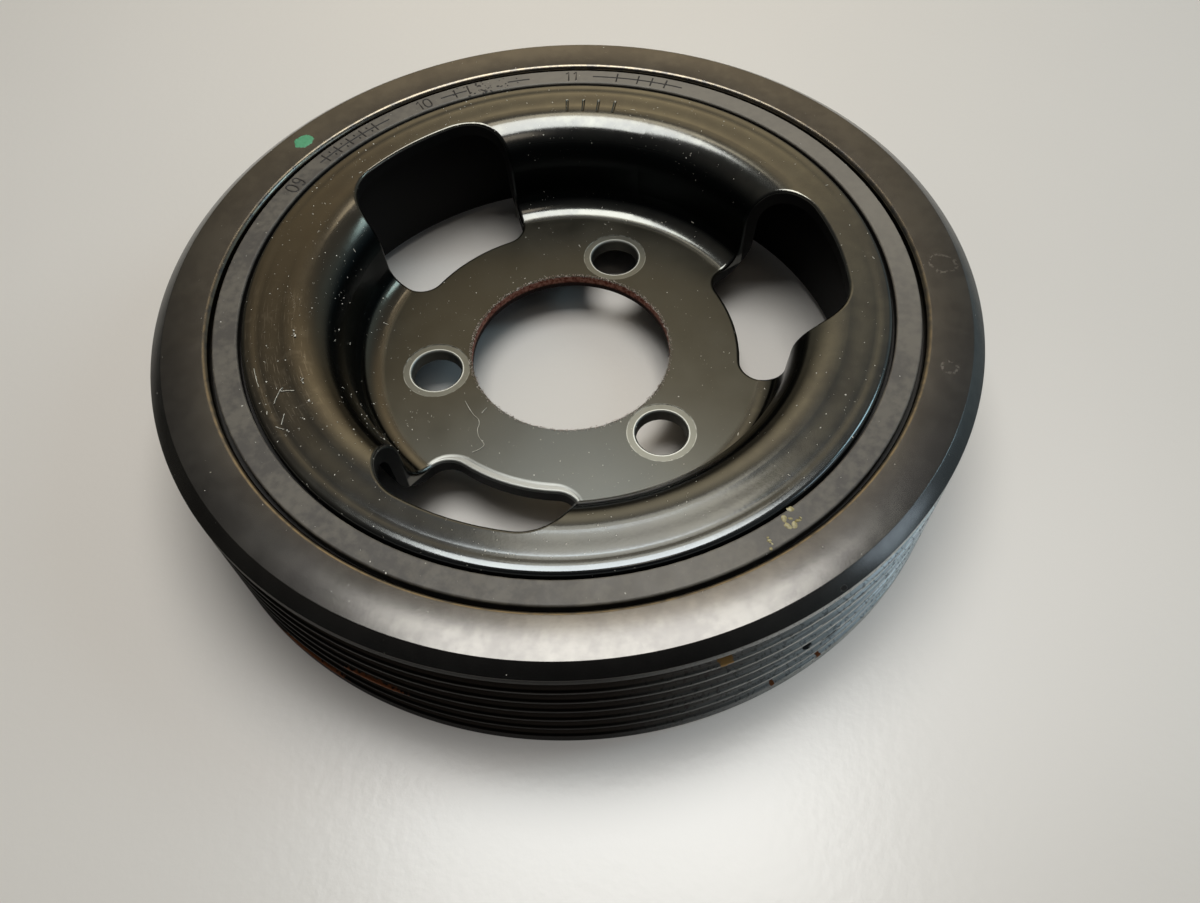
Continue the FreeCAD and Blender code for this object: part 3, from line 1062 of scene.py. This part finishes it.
class NodeShop(Tree):
    """Builds one Geometry Nodes tree, runs it on a mesh and keeps the plain result."""

    def __init__(self, name: str) -> None:
        self.name = name
        self.tree = bpy.data.node_groups.new(name, "GeometryNodeTree")
        for side in ("INPUT", "OUTPUT"):
            self.tree.interface.new_socket("Geometry", in_out=side, socket_type="NodeSocketGeometry")
        self.entry = self.add("NodeGroupInput")
        self.values: dict[str, object] = {}

    def setting(self, name: str, kind: str, value: object) -> Socket:
        """Adds a named input and remembers its value by its identifier.

        Args:
            name: the input's name.
            kind: its socket type.
            value: its value.

        Returns:
            The socket that carries it.
        """
        item = self.tree.interface.new_socket(name, in_out="INPUT", socket_type=kind)
        self.values[item.identifier] = value
        return self.entry.outputs[name]

    def number(self, name: str, value: float) -> Socket:
        """Adds a named input that holds a number."""
        return self.setting(name, "NodeSocketFloat", value)

    def seed(self, value: int) -> Socket:
        """Adds the input that holds the seed."""
        return self.setting("Seed", "NodeSocketInt", value)

    def random(self, kind: str, low, high, seed: Socket, lane: int) -> Socket:
        """Returns a random field; lane keeps fields of one seed apart.

        Args:
            kind: the data type.
            low: the least value.
            high: the greatest value.
            seed: the seed input.
            lane: a number of its own for each field.

        Returns:
            The socket that carries it.
        """
        mixed = self.math("ADD", seed, float(lane))
        node = self.add("FunctionNodeRandomValue", data_type=kind)
        first, second, out = {"FLOAT": (2, 3, 1), "FLOAT_VECTOR": (0, 1, 0)}[kind]
        for socket, value in ((first, low), (second, high)):
            if isinstance(value, Socket):
                self.tree.links.new(value, node.inputs[socket])
            else:
                node.inputs[socket].default_value = value
        self.tree.links.new(mixed, node.inputs["Seed"])
        return node.outputs[out]

    def run(self, base: Mesh, result: Socket, material: Material) -> Mesh:
        """Realizes the result on a base mesh, with a material, and returns it as a plain mesh.

        Args:
            base: the mesh that the tree starts from.
            result: the geometry before it is realized.
            material: the piece's material.

        Returns:
            The mesh.
        """
        solid = self.get("GeometryNodeRealizeInstances", {0: result})
        painted = self.get("GeometryNodeSetMaterial", {"Geometry": solid, "Material": material})
        self.add("NodeGroupOutput", {0: painted})
        carrier = bpy.data.objects.new(self.name + "_carrier", base)
        bpy.context.scene.collection.objects.link(carrier)
        modifier = carrier.modifiers.new(self.name, "NODES")
        modifier.node_group = self.tree
        for identifier, value in self.values.items():
            modifier[identifier] = value
        seen = carrier.evaluated_get(bpy.context.evaluated_depsgraph_get())
        mesh = bpy.data.meshes.new_from_object(seen)
        mesh.name = self.name
        carrier.modifiers.remove(modifier)
        bpy.data.objects.remove(carrier)
        return mesh


@dataclass(frozen=True)
class DustAmount:
    """How much dust lies on a surface.

    It has the flakes per square centimetre, their radii in mm, and how thin they are.
    """

    flakes: float
    smallest: float = 0.03
    largest: float = 0.2
    thinnest: float = 0.3
    lowest: float = 9.0
    seed: int = 3


class Dust:
    """Scatters pale flakes over the upward faces of a surface, more of them on the left."""

    def __init__(self, name: str, amount: DustAmount) -> None:
        self.name = name
        self.amount = amount

    def build(self, base: Mesh, material: Material, slot: Finish) -> Piece:
        """Scatters the flakes over a base mesh.

        Args:
            base: the mesh that carries the dust.
            material: the piece's material.
            slot: a record slot, handed on to shown.

        Returns:
            The piece.
        """
        shop, amount = NodeShop(self.name), self.amount
        density = shop.number("Flakes per square metre", amount.flakes * 1e4)
        smallest = shop.number("Smallest", amount.smallest * MM)
        largest = shop.number("Largest", amount.largest * MM)
        seed = shop.seed(amount.seed)
        place = shop.get("GeometryNodeInputPosition")
        normal = shop.get("GeometryNodeInputNormal")
        upward = shop.add("ShaderNodeSeparateXYZ", {0: normal}).outputs[2]
        height = shop.add("ShaderNodeSeparateXYZ", {0: place}).outputs[2]
        left = Layout.place(1.0, 180.0, 0.0).normalized()
        side = shop.add("ShaderNodeVectorMath", {0: place, 1: left}, operation="DOT_PRODUCT")
        spread = {"From Min": -0.05, "From Max": 0.05, "To Min": 0.45, "To Max": 1.9}
        spread["Value"] = side.outputs["Value"]
        share = shop.get("ShaderNodeMapRange", spread)
        up = shop.math("GREATER_THAN", upward, 0.25)
        high = shop.math("GREATER_THAN", height, amount.lowest * MM)
        clusters = {"Vector": place, "Scale": 1 / (7 * MM), "Detail": 2.0}
        cluster = shop.get("ShaderNodeTexNoise", clusters)
        heaped = {"Value": cluster, "From Min": 0.38, "From Max": 0.66, "To Min": 0.1, "To Max": 2.4}
        heaps = shop.get("ShaderNodeMapRange", heaped)
        for factor in (share, up, high, heaps):
            density = shop.math("MULTIPLY", density, factor)
        inputs = {"Mesh": shop.entry.outputs["Geometry"], "Density": density, "Seed": seed}
        points = shop.add("GeometryNodeDistributePointsOnFaces", inputs)
        off = {0: points.outputs["Normal"], "Scale": 0.015 * MM}
        lift = shop.get("ShaderNodeVectorMath", off, operation="SCALE")
        moved = {"Geometry": points.outputs[0], "Offset": lift}
        lifted = shop.get("GeometryNodeSetPosition", moved)
        flat = {"Vertices": 7, "Radius": 1.0}
        flake = shop.get("GeometryNodeMeshCircle", flat, fill_type="NGON")
        chance = shop.random("FLOAT", 0.0, 1.0, seed, 11)
        rare = shop.math("POWER", chance, 4.0)
        sizes = {"Value": rare, "To Min": smallest, "To Max": largest}
        size = shop.get("ShaderNodeMapRange", sizes)
        thin = amount.thinnest
        shape = shop.random("FLOAT_VECTOR", (1.0, thin, 1.0), (1.0, min(1.0, 3.0 * thin), 1.0), seed, 12)
        scale = shop.get("ShaderNodeVectorMath", {0: shape, "Scale": size}, operation="SCALE")
        spin = shop.random("FLOAT", 0.0, 2 * math.pi, seed, 13)
        about = shop.get("ShaderNodeCombineXYZ", {2: spin})
        turned = {"Rotation": points.outputs["Rotation"], "Rotate By": about}
        rotation = shop.get("FunctionNodeRotateRotation", turned, rotation_space="LOCAL")
        laid = {"Points": lifted, "Instance": flake, "Rotation": rotation, "Scale": scale}
        flakes = shop.get("GeometryNodeInstanceOnPoints", laid)
        return shown(self.name, shop.run(base.copy(), flakes, material), material, slot)


class BoreBurrs:
    """Crumbs of burr and rust all round the bore's front edge."""

    def __init__(self, hub: HubSizes, count: int = 1500, seed: int = 5) -> None:
        self.hub = hub
        self.count = count
        self.seed = seed

    def build(self, material: Material) -> Piece:
        """Sets the crumbs along the edge.

        Args:
            material: the piece's material.

        Returns:
            The piece.
        """
        shop = NodeShop("bore_burrs")
        seed = shop.seed(self.seed)
        radius = shop.number("Bore radius", (self.hub.bore_radius + 0.12) * MM)
        circle = {"Resolution": 180, "Radius": radius}
        edge = shop.get("GeometryNodeCurvePrimitiveCircle", circle)
        along = {"Curve": edge, "Count": self.count}
        points = shop.get("GeometryNodeCurveToPoints", along, mode="COUNT")
        low, high = (-0.26 * MM, -0.26 * MM, -0.12 * MM), (0.34 * MM, 0.34 * MM, 0.08 * MM)
        shake = shop.random("FLOAT_VECTOR", low, high, seed, 1)
        raised = {0: shake, 1: (0, 0, self.hub.plate_top * MM)}
        shift = shop.get("ShaderNodeVectorMath", raised, operation="ADD")
        points = shop.get("GeometryNodeSetPosition", {"Geometry": points, "Offset": shift})
        crumb = shop.get("GeometryNodeMeshIcoSphere", {"Radius": 1.0, "Subdivisions": 1})
        size = shop.random("FLOAT_VECTOR", (0.03 * MM,) * 3, (0.2 * MM, 0.1 * MM, 0.1 * MM), seed, 2)
        spin = shop.random("FLOAT_VECTOR", (0, 0, 0), (6.28, 6.28, 6.28), seed, 3)
        laid = {"Points": points, "Instance": crumb, "Rotation": spin, "Scale": size}
        crumbs = shop.get("GeometryNodeInstanceOnPoints", laid)
        mesh = shop.run(bpy.data.meshes.new("bore_burrs_base"), crumbs, material)
        return shown("bore_burrs", mesh, material, Finish.STEEL)


class Strokes:
    """Thin round strokes along polylines, half sunk into what carries them."""

    def __init__(self, name: str, width: float) -> None:
        self.name = name
        self.width = width
        self.lines: list[list[Vector]] = []

    def arc(self, radius: float, start: float, end: float, height: float) -> None:
        """Adds an arc between two seen angles.

        Args:
            radius: its distance from the axis.
            start: seen angle of its start.
            end: seen angle of its end.
            height: its height over the floor.
        """
        count = max(2, int(abs(end - start) / 0.8) + 1)
        steps = [start + (end - start) * i / (count - 1) for i in range(count)]
        self.lines.append([Layout.place(radius, seen, height) for seen in steps])

    def tick(self, seen: float, low: float, high: float, height: float) -> None:
        """Adds a short radial stroke."""
        self.lines.append([Layout.place(low, seen, height), Layout.place(high, seen, height)])

    def sign(self, shape: list[tuple[float, float]], seen: float, radius: float, height: float) -> None:
        """Adds a figure whose top points outward, from a polyline in millimetres."""
        per_mm = math.degrees(1 / radius)
        self.lines.append([Layout.place(radius + y, seen - x * per_mm, height) for x, y in shape])

    def hair(self, knots: list[Vector], steps: int = 8) -> None:
        """Adds a smooth line through knots.

        Args:
            knots: points on the line, in metres.
            steps: pieces between two knots.
        """
        line = []
        for i in range(len(knots) - 1):
            before, after = knots[max(i - 1, 0)], knots[min(i + 2, len(knots) - 1)]
            here, there = knots[i], knots[i + 1]
            for k in range(steps):
                t = k / steps
                pull = (here * 2, there - before, before * 2 - here * 5 + there * 4 - after)
                last = here * 3 - before - there * 3 + after
                line.append((pull[0] + pull[1] * t + pull[2] * t * t + last * t**3) * 0.5)
        self.lines.append(line + [knots[-1]])

    def build(self, material: Material, slot: Finish) -> Piece:
        """Sweeps a small circle along every line.

        Args:
            material: the piece's material.
            slot: a record slot, handed on to shown.

        Returns:
            The piece.
        """
        points = [point for line in self.lines for point in line]
        edges, start = [], 0
        for line in self.lines:
            edges += [(start + i, start + i + 1) for i in range(len(line) - 1)]
            start += len(line)
        base = bpy.data.meshes.new(self.name + "_lines")
        base.from_pydata(points, edges, [])
        shop = NodeShop(self.name)
        radius = shop.number("Half width", self.width / 2 * MM)
        curve = shop.get("GeometryNodeMeshToCurve", {0: shop.entry.outputs["Geometry"]})
        circle = {"Resolution": 8, "Radius": radius}
        profile = shop.get("GeometryNodeCurvePrimitiveCircle", circle)
        swept = {"Curve": curve, "Profile Curve": profile, "Fill Caps": True}
        tubes = shop.get("GeometryNodeCurveToMesh", swept)
        return shown(self.name, shop.run(base, tubes, material), material, slot)


class RubberMarks:
    """Rows of ticks and plain numbers moulded on the rubber's band."""

    ZERO = [
        (0.55, 1.25), (0.15, 1.1), (-0.1, 0.5), (-0.1, -0.5), (0.15, -1.1), (0.55, -1.25),
        (0.95, -1.1), (1.2, -0.5), (1.2, 0.5), (0.95, 1.1), (0.55, 1.25),
    ]
    NINE = [
        (1.1, 0.3), (0.8, -0.05), (0.35, -0.05), (0.05, 0.3), (0.05, 0.9), (0.35, 1.25),
        (0.8, 1.25), (1.1, 0.9), (1.1, -0.4), (0.9, -1.05), (0.5, -1.25), (0.1, -1.1),
    ]
    ONE = [(0.0, 0.8), (0.45, 1.25), (0.45, -1.25)]
    FIGURES = ((ZERO, 152.3), (NINE, 150.3), (ONE, 119.9), (ZERO, 118.5), (ONE, 89.0), (ONE, 87.5))
    LINES = ((143.5, 126.5), (115.0, 109.5), (101.0, 96.5), (83.6, 65.2))
    TICKS_A = (142.0, 138.9, 135.9, 132.8, 129.8)
    TICKS_B = (111.9, 109.1)
    TICKS_C = (78.7, 74.4, 71.6, 68.7)

    def __init__(self, rubber: RubberSizes, width: float = 0.34) -> None:
        self.rubber = rubber
        self.width = width
        self.height = rubber.top - 0.06

    def build(self, material: Material) -> Piece:
        """Builds all rows and numbers as one piece.

        Args:
            material: the piece's material.

        Returns:
            The piece.
        """
        marks = Strokes("rubber_marks", self.width)
        middle = self.rubber.middle
        for shape, seen in self.FIGURES:
            marks.sign(shape, seen, middle, self.height)
        for start, end in self.LINES:
            marks.arc(middle, start, end, self.height)
        for seen in self.TICKS_A + self.TICKS_B + self.TICKS_C:
            marks.tick(seen, middle - 1.15, middle + 1.15, self.height)
        for seen in (140.4, 137.4, 134.3, 131.3):
            marks.tick(seen, middle + 0.5, middle + 0.85, self.height)
            marks.tick(seen - 0.4, middle - 0.85, middle - 0.5, self.height)
        return marks.build(material, Finish.RUBBER)


class Crumbs:
    """A patch of ragged bits lying together, such as a rough spot or dried drops."""

    def __init__(self, name: str, seed: int) -> None:
        self.name = name
        self.rng = random.Random(seed)
        self.mesh = bmesh.new()

    def bit(self, centre: Vector, size: float, tall: float) -> None:
        """Adds one bit: a low ragged dome, sizes in millimetres.

        Args:
            centre: its middle, in metres.
            size: its radius.
            tall: its height.
        """
        count = 9
        turn = self.rng.uniform(0, 2 * math.pi)
        stretch = self.rng.uniform(0.55, 1.0)
        rings = []
        for share, lift in ((1.0, 0.0), (0.72, 0.75), (0.3, 1.0)):
            ring = []
            for i in range(count):
                angle = 2 * math.pi * i / count
                reach = size * share * self.rng.uniform(0.72, 1.15)
                x, y = reach * math.cos(angle), reach * stretch * math.sin(angle)
                x, y = x * math.cos(turn) - y * math.sin(turn), x * math.sin(turn) + y * math.cos(turn)
                ring.append(self.mesh.verts.new(centre + Vector((x, y, tall * lift)) * MM))
            rings.append(ring)
        for low, high in zip(rings, rings[1:]):
            for i in range(count):
                self.mesh.faces.new((low[i], low[(i + 1) % count], high[(i + 1) % count], high[i]))
        self.mesh.faces.new(rings[-1])

    def patch(
        self, seen: float, radius: float, height: float, spread: tuple[float, float], count: int, size: float
    ) -> None:
        """Adds bits round a place, spread along and across in millimetres.

        Args:
            seen: seen angle of the place.
            radius: its distance from the axis.
            height: its height over the floor.
            spread: twice the usual distance from it, along and across.
            count: how many bits.
            size: their middling radius.
        """
        for _ in range(count):
            along = self.rng.gauss(0, spread[0] / 2)
            away = radius + self.rng.gauss(0, spread[1] / 2)
            place = Layout.place(away, seen + math.degrees(along / radius), height)
            self.bit(place, size * self.rng.uniform(0.5, 1.3), size * self.rng.uniform(0.15, 0.35))

    def build(self, material: Material, slot: Finish) -> Piece:
        """Turns the bits into a piece.

        Args:
            material: the piece's material.
            slot: a record slot, handed on to shown.

        Returns:
            The piece.
        """
        mesh = bpy.data.meshes.new(self.name)
        self.mesh.to_mesh(mesh)
        self.mesh.free()
        mesh.shade_smooth()
        return shown(self.name, mesh, material, slot)


class PaintDab:
    """A dab of marking paint with a frayed outline on the ring's face."""

    SEEN, RADIUS = 141.3, 59.8
    HALF_LENGTH, HALF_WIDTH = 1.95, 1.65
    THICKNESS = 0.045
    POINTS = 48

    def __init__(self, ring: RingSizes, seed: int = 12) -> None:
        self.height = ring.height - 0.05
        self.rng = random.Random(seed)

    def build(self, material: Material) -> Piece:
        """Builds the dab.

        Args:
            material: the piece's material.

        Returns:
            The piece.
        """
        mesh = bmesh.new()
        count = self.POINTS
        rough = [self.rng.uniform(0.84, 1.12) for _ in range(count)]
        fray = []
        for i in range(count):
            smooth = (rough[i - 1] + 2 * rough[i] + rough[(i + 1) % count]) / 4
            fray.append(smooth * self.rng.uniform(0.93, 1.07))
        rings = []
        for share, lift in ((1.0, 0.0), (0.96, 0.7), (0.7, 1.0), (0.35, 0.9)):
            ring = []
            for i in range(count):
                angle = 2 * math.pi * i / count
                away = self.RADIUS + self.HALF_WIDTH * fray[i] * share * math.sin(angle)
                aside = self.HALF_LENGTH * fray[i] * share * math.cos(angle)
                seen = self.SEEN + math.degrees(aside / self.RADIUS)
                place = Layout.place(away, seen, self.height + self.THICKNESS * lift)
                ring.append(mesh.verts.new(place))
            rings.append(ring)
        for low, high in zip(rings, rings[1:]):
            for i in range(count):
                mesh.faces.new((low[(i + 1) % count], low[i], high[i], high[(i + 1) % count]))
        mesh.faces.new(rings[-1][::-1])
        bmesh.ops.recalc_face_normals(mesh, faces=mesh.faces)
        data = bpy.data.meshes.new("green_dab")
        mesh.to_mesh(data)
        mesh.free()
        data.shade_smooth()
        return shown("green_dab", data, material, Finish.RING)


class Studio:
    """Floor, lamps, surroundings and camera."""

    LENS = 28.845
    TILT = math.radians(56.46)
    ROLL = math.radians(-2.41)
    FACE_RADIUS = 63.0
    AWAY = 2.139 * FACE_RADIUS
    AIM = Vector((0.0684 * FACE_RADIUS, -0.5138 * FACE_RADIUS, 26.0))
    FLOOR_SIDE = 3.0

    def floor(self) -> None:
        """Lays a plain pale floor, with a faint painted glow that only the camera and mirrors see: none
        under the pulley, and more in front of it, where it lightens the pulley's shadow.
        """
        mesh = bpy.data.meshes.new("floor")
        side = self.FLOOR_SIDE
        points = [(-side, -side, 0), (side, -side, 0), (side, side, 0), (-side, side, 0)]
        mesh.from_pydata(points, [], [(0, 1, 2, 3)])
        s = Surface("pale_floor")
        base = s.colour(s.noise(60.0, 3.0), linear("#dfdbd6"), linear("#e4e0db"))
        grain = s.bump(s.noise(1.6, 3.0), 0.03)
        # Painted glow: none under the pulley, faint elsewhere, and more in front of it, where it lightens
        # the pulley's shadow.
        front = s.sector(-62.0, 50.0, 40.0)
        near = s.math("MULTIPLY", s.math("MULTIPLY", front, s.rise(s.radius, 130.0, 75.0)), 0.13)
        painted_glow = s.math("MULTIPLY", s.math("ADD", near, 0.04), s.rise(s.radius, 44.0, 62.0))
        path = s.add("ShaderNodeLightPath").outputs
        mirrored = s.math("MAXIMUM", path["Is Glossy Ray"], path["Is Transmission Ray"])
        watched = s.math("MAXIMUM", path["Is Camera Ray"], mirrored)
        glow = s.math("MULTIPLY", painted_glow, watched)
        lift = {"Emission_Color": linear("#efebe6"), "Emission_Strength": glow}
        looks = {"Base_Color": base, "Roughness": 0.27, "Specular_IOR_Level": 0.75}
        mesh.materials.append(s.finish(**looks, Normal=grain, **lift))
        floor = bpy.data.objects.new("floor", mesh)
        bpy.context.scene.collection.objects.link(floor)
        floor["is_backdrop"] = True

    def lamp(self, name: str, place: Vector, size: tuple[float, float], power: float, colour: str) -> None:
        """Hangs one soft rectangular lamp that faces the pulley.

        Args:
            name: the lamp's name.
            place: its centre on the seen axes, in metres.
            size: its width and depth, in metres.
            power: its power in watts.
            colour: its colour as a hex code.
        """
        light = bpy.data.lights.new(name, "AREA")
        light.shape = "RECTANGLE"
        light.size, light.size_y = size
        light.energy = power
        light.color = linear(colour)[:3]
        lamp = bpy.data.objects.new(name, light)
        facing = (Vector((0, 0, 0.02)) - place) if abs(place.x) > 0.5 else Vector((0, 0, -1))
        aim = facing.to_track_quat("-Z", "Y").to_matrix().to_4x4()
        lamp.matrix_world = Layout.turn() @ Matrix.Translation(place) @ aim
        bpy.context.scene.collection.objects.link(lamp)

    def lamps(self) -> None:
        """Hangs a large lamp overhead, its dim tail and front glow, and two cool ones on the right."""
        self.lamp("overhead", Vector((0.006, 0.07, 0.476)), (0.285, 0.243), 1.36, "#fffffc")
        self.lamp("overhead_tail", Vector((0.02, 0.245, 0.476)), (0.15, 0.11), 0.12, "#fff4e0")
        self.lamp("front_glow", Vector((0.1, -0.17, 0.476)), (0.1, 0.12), 0.045, "#fff0dc")
        self.lamp("side", Vector((1.04, -0.26, 0.54)), (0.3, 0.3), 0.5, "#d2e8fb")
        self.lamp("side_window", Vector((0.94, 0.19, 0.71)), (0.2, 0.46), 1.42, "#bfe6fa")

    def surroundings(self) -> None:
        """Fills the rest with a dim warm room that metal mirrors, and a pale backdrop for the camera."""
        world = bpy.data.worlds.new("surroundings")
        bpy.context.scene.world = world
        world.use_nodes = True
        tree = world.node_tree
        tree.nodes.clear()
        way = add_node(tree, "ShaderNodeTexCoord").outputs["Generated"]
        turn = (0.0, 0.0, math.radians(-SEEN_TURN))
        seen = add_node(tree, "ShaderNodeMapping", {"Vector": way, "Rotation": turn}).outputs[0]
        right, ahead, high = add_node(tree, "ShaderNodeSeparateXYZ", {0: seen}).outputs
        rightward = self.span(tree, right, -1.0, 1.0)
        low = self.mix(tree, rightward, (0.05, 0.046, 0.038, 1), (0.26, 0.33, 0.36, 1))
        upper = self.mix(tree, rightward, (0.1, 0.088, 0.072, 1), (0.24, 0.25, 0.25, 1))
        dim = self.mix(tree, self.span(tree, high, 0.35, 0.7), low, upper)
        dim = self.mix(tree, self.span(tree, ahead, -0.8, 0.45), (0.03, 0.03, 0.03, 1), dim)
        far = self.span(tree, ahead, 0.45, 0.92)
        far = add_node(tree, "ShaderNodeMath", {0: far, 1: 2.0}, operation="POWER").outputs[0]
        raised = self.span(tree, high, 0.2, 0.6)
        wall = self.mix(tree, raised, (0.05, 0.042, 0.03, 1), (1.85, 1.5, 0.98, 1))
        sideways = add_node(tree, "ShaderNodeMath", {0: right}, operation="ABSOLUTE").outputs[0]
        aside = self.span(tree, sideways, 0.12, 0.6)
        wall = self.mix(tree, aside, wall, (0.26, 0.22, 0.15, 1))
        room = self.mix(tree, far, dim, wall)
        path = add_node(tree, "ShaderNodeLightPath").outputs["Is Camera Ray"]
        shade = self.mix(tree, path, room, linear("#d9d4ca"))
        glow = add_node(tree, "ShaderNodeBackground", {"Color": shade, "Strength": 1.0}).outputs[0]
        add_node(tree, "ShaderNodeOutputWorld", {"Surface": glow})

    @staticmethod
    def mix(tree: bpy.types.NodeTree, factor: Socket, first, second) -> Socket:
        """Returns a blend of two colours."""
        return add_node(tree, "ShaderNodeMix", {0: factor, 6: first, 7: second}, data_type="RGBA").outputs[2]

    @staticmethod
    def span(tree: bpy.types.NodeTree, value: Socket, start: float, end: float) -> Socket:
        """Returns 0 to 1 as a value goes from start to end."""
        inputs = {"Value": value, "From Min": start, "From Max": end}
        return add_node(tree, "ShaderNodeMapRange", inputs).outputs[0]

    def camera(self) -> None:
        """Stands the camera where the photographer held it."""
        back = Vector((0, -math.cos(self.TILT), math.sin(self.TILT)))
        ahead = Vector((0, math.sin(self.TILT), math.cos(self.TILT)))
        across = Vector((1, 0, 0))
        right = across * math.cos(self.ROLL) + ahead * math.sin(self.ROLL)
        up = ahead * math.cos(self.ROLL) - across * math.sin(self.ROLL)
        place = (self.AIM + back * self.AWAY) * MM
        data = bpy.data.cameras.new("camera")
        data.sensor_width = 36.0
        data.lens = self.LENS
        data.clip_start, data.clip_end = 0.005, 50.0
        camera = bpy.data.objects.new("camera", data)
        axes = Matrix((right, up, back)).transposed().to_4x4()
        camera.matrix_world = Layout.turn() @ Matrix.Translation(place) @ axes
        bpy.context.scene.collection.objects.link(camera)
        bpy.context.scene.camera = camera

    def build(self) -> None:
        """Builds the whole studio."""
        self.floor()
        self.lamps()
        self.surroundings()
        self.camera()


def corners(box: tuple[Vector, Vector]) -> list[list[float]]:
    """Returns a box as plain lists."""
    return [list(point) for point in box]


def build_lint(hub: HubSizes, dust: Material, lint: Material) -> None:
    """Lays the long hair and flakes on the plate, specks on the wall, and both on the shoulder's left.

    Args:
        hub: places on the hub.
        dust: material of the flakes.
        lint: material of the hairs.
    """
    hairs = Strokes("lint_hairs", 0.1)
    laid = [(PLATE_HAIR, hub.plate_top), (PLATE_FLICK, hub.plate_top)]
    laid += [(knots, hub.shoulder_top) for knots in SHOULDER_HAIRS]
    for knots, height in laid:
        hairs.hair([Layout.place(radius, seen, height + 0.08) for seen, radius in knots])
    hairs.build(lint, Finish.STEEL)
    flakes = Crumbs("clinging_flakes", 31)
    for seen, radius, size in SHOULDER_FLAKES:
        flakes.patch(seen, radius, hub.shoulder_top - 0.01, (size * 1.2, size * 0.5), 6, size * 0.24)
    for seen, radius, size in PLATE_FLAKES:
        flakes.patch(seen, radius, hub.plate_top - 0.01, (size, size * 0.5), 3, size * 0.3)
    for seen, radius, height in WALL_FLAKES:
        flakes.patch(seen, radius, height, (0.9, 0.1), 2, WALL_FLAKE_SIZE)
    flakes.build(dust, Finish.STEEL)


def build_details(
    frame: dict, heavy: Piece, ring: RingSizes, hub: HubSizes, rubber: RubberSizes
) -> None:
    """Adds dust, burrs, moulded marks, lint, dried drops and the dab of paint.

    Args:
        frame: the loaded solids.
        heavy: the grooved ring's finished piece.
        ring: places on the heavy ring.
        hub: places on the hub.
        rubber: places on the rubber ring.
    """
    dust = Speck("pale_dust", "#9c978b", "#e2dfd6").build()
    burr = Speck("bare_burrs", "#8f7a70", "#d0c6be", 0.5).build()
    mark = Speck("dark_rubber_marks", "#1f1c1b", "#2f2b29", 0.55).build()
    lint = Speck("grey_lint", "#bab6aa", "#dcd8cc").build()
    drops = Speck("dried_yellow_drops", "#8f8252", "#b9b089", 0.4).build()

    steel_mesh = frame["nodes"]["hub"].data
    rubber_mesh = frame["nodes"]["rubber_ring"].data
    Dust("dust_on_hub", DustAmount(18.0, largest=0.15)).build(steel_mesh, dust, Finish.STEEL)
    fibres = DustAmount(1.2, smallest=0.1, largest=0.45, thinnest=0.09, seed=4)
    Dust("fibres_on_hub", fibres).build(steel_mesh, lint, Finish.STEEL)
    on_ring = DustAmount(2.4, largest=0.14, lowest=24.0, seed=8)
    Dust("dust_on_ring", on_ring).build(heavy.data, dust, Finish.RING)
    on_rubber = DustAmount(7.0, largest=0.15, lowest=25.4, seed=9)
    Dust("dust_on_rubber", on_rubber).build(rubber_mesh, dust, Finish.RUBBER)
    BoreBurrs(hub).build(burr)
    RubberMarks(rubber).build(mark)

    build_lint(hub, dust, lint)

    rough_spot = Crumbs("rough_rubber_spot", 21)
    rough_spot.patch(104.5, rubber.middle, rubber.top - 0.02, (6.5, 2.2), 46, 0.28)
    rough_spot.build(mark, Finish.RUBBER)
    yellow = Crumbs("dried_drops", 22)
    yellow.patch(-56.0, 53.9, rubber.top - 0.02, (3.0, 1.6), 7, 0.55)
    yellow.patch(-60.5, 54.3, rubber.top - 0.02, (2.0, 1.2), 5, 0.4)
    yellow.build(drops, Finish.RUBBER)
    PaintDab(ring).build(PaintMark().build())


def main() -> None:
    """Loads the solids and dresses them."""
    logging.basicConfig(level=logging.INFO)
    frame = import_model()
    solid_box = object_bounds()
    ring, hub, rubber = RingSizes(), HubSizes(), RubberSizes()
    Studio().build()

    steel = CoatedSteel().build(hub)
    iron = DarkenedRing().build(ring)
    moulded = MouldedRubber().build(rubber)
    for name, material in (("hub", steel), ("rubber_ring", moulded), ("pulley_ring", iron)):
        frame["nodes"][name].data.materials[0] = material
        log.info("node %s has its finish", name)
    heavy = HeavyRing(ring).build(iron)
    ShoulderLip(hub).build(steel)
    build_details(frame, heavy, ring, hub, rubber)

    bpy.context.scene.view_settings.view_transform = "Standard"
    {"cad": corners(solid_box), "visual": corners(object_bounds())}


if __name__ == "__main__":
    main()
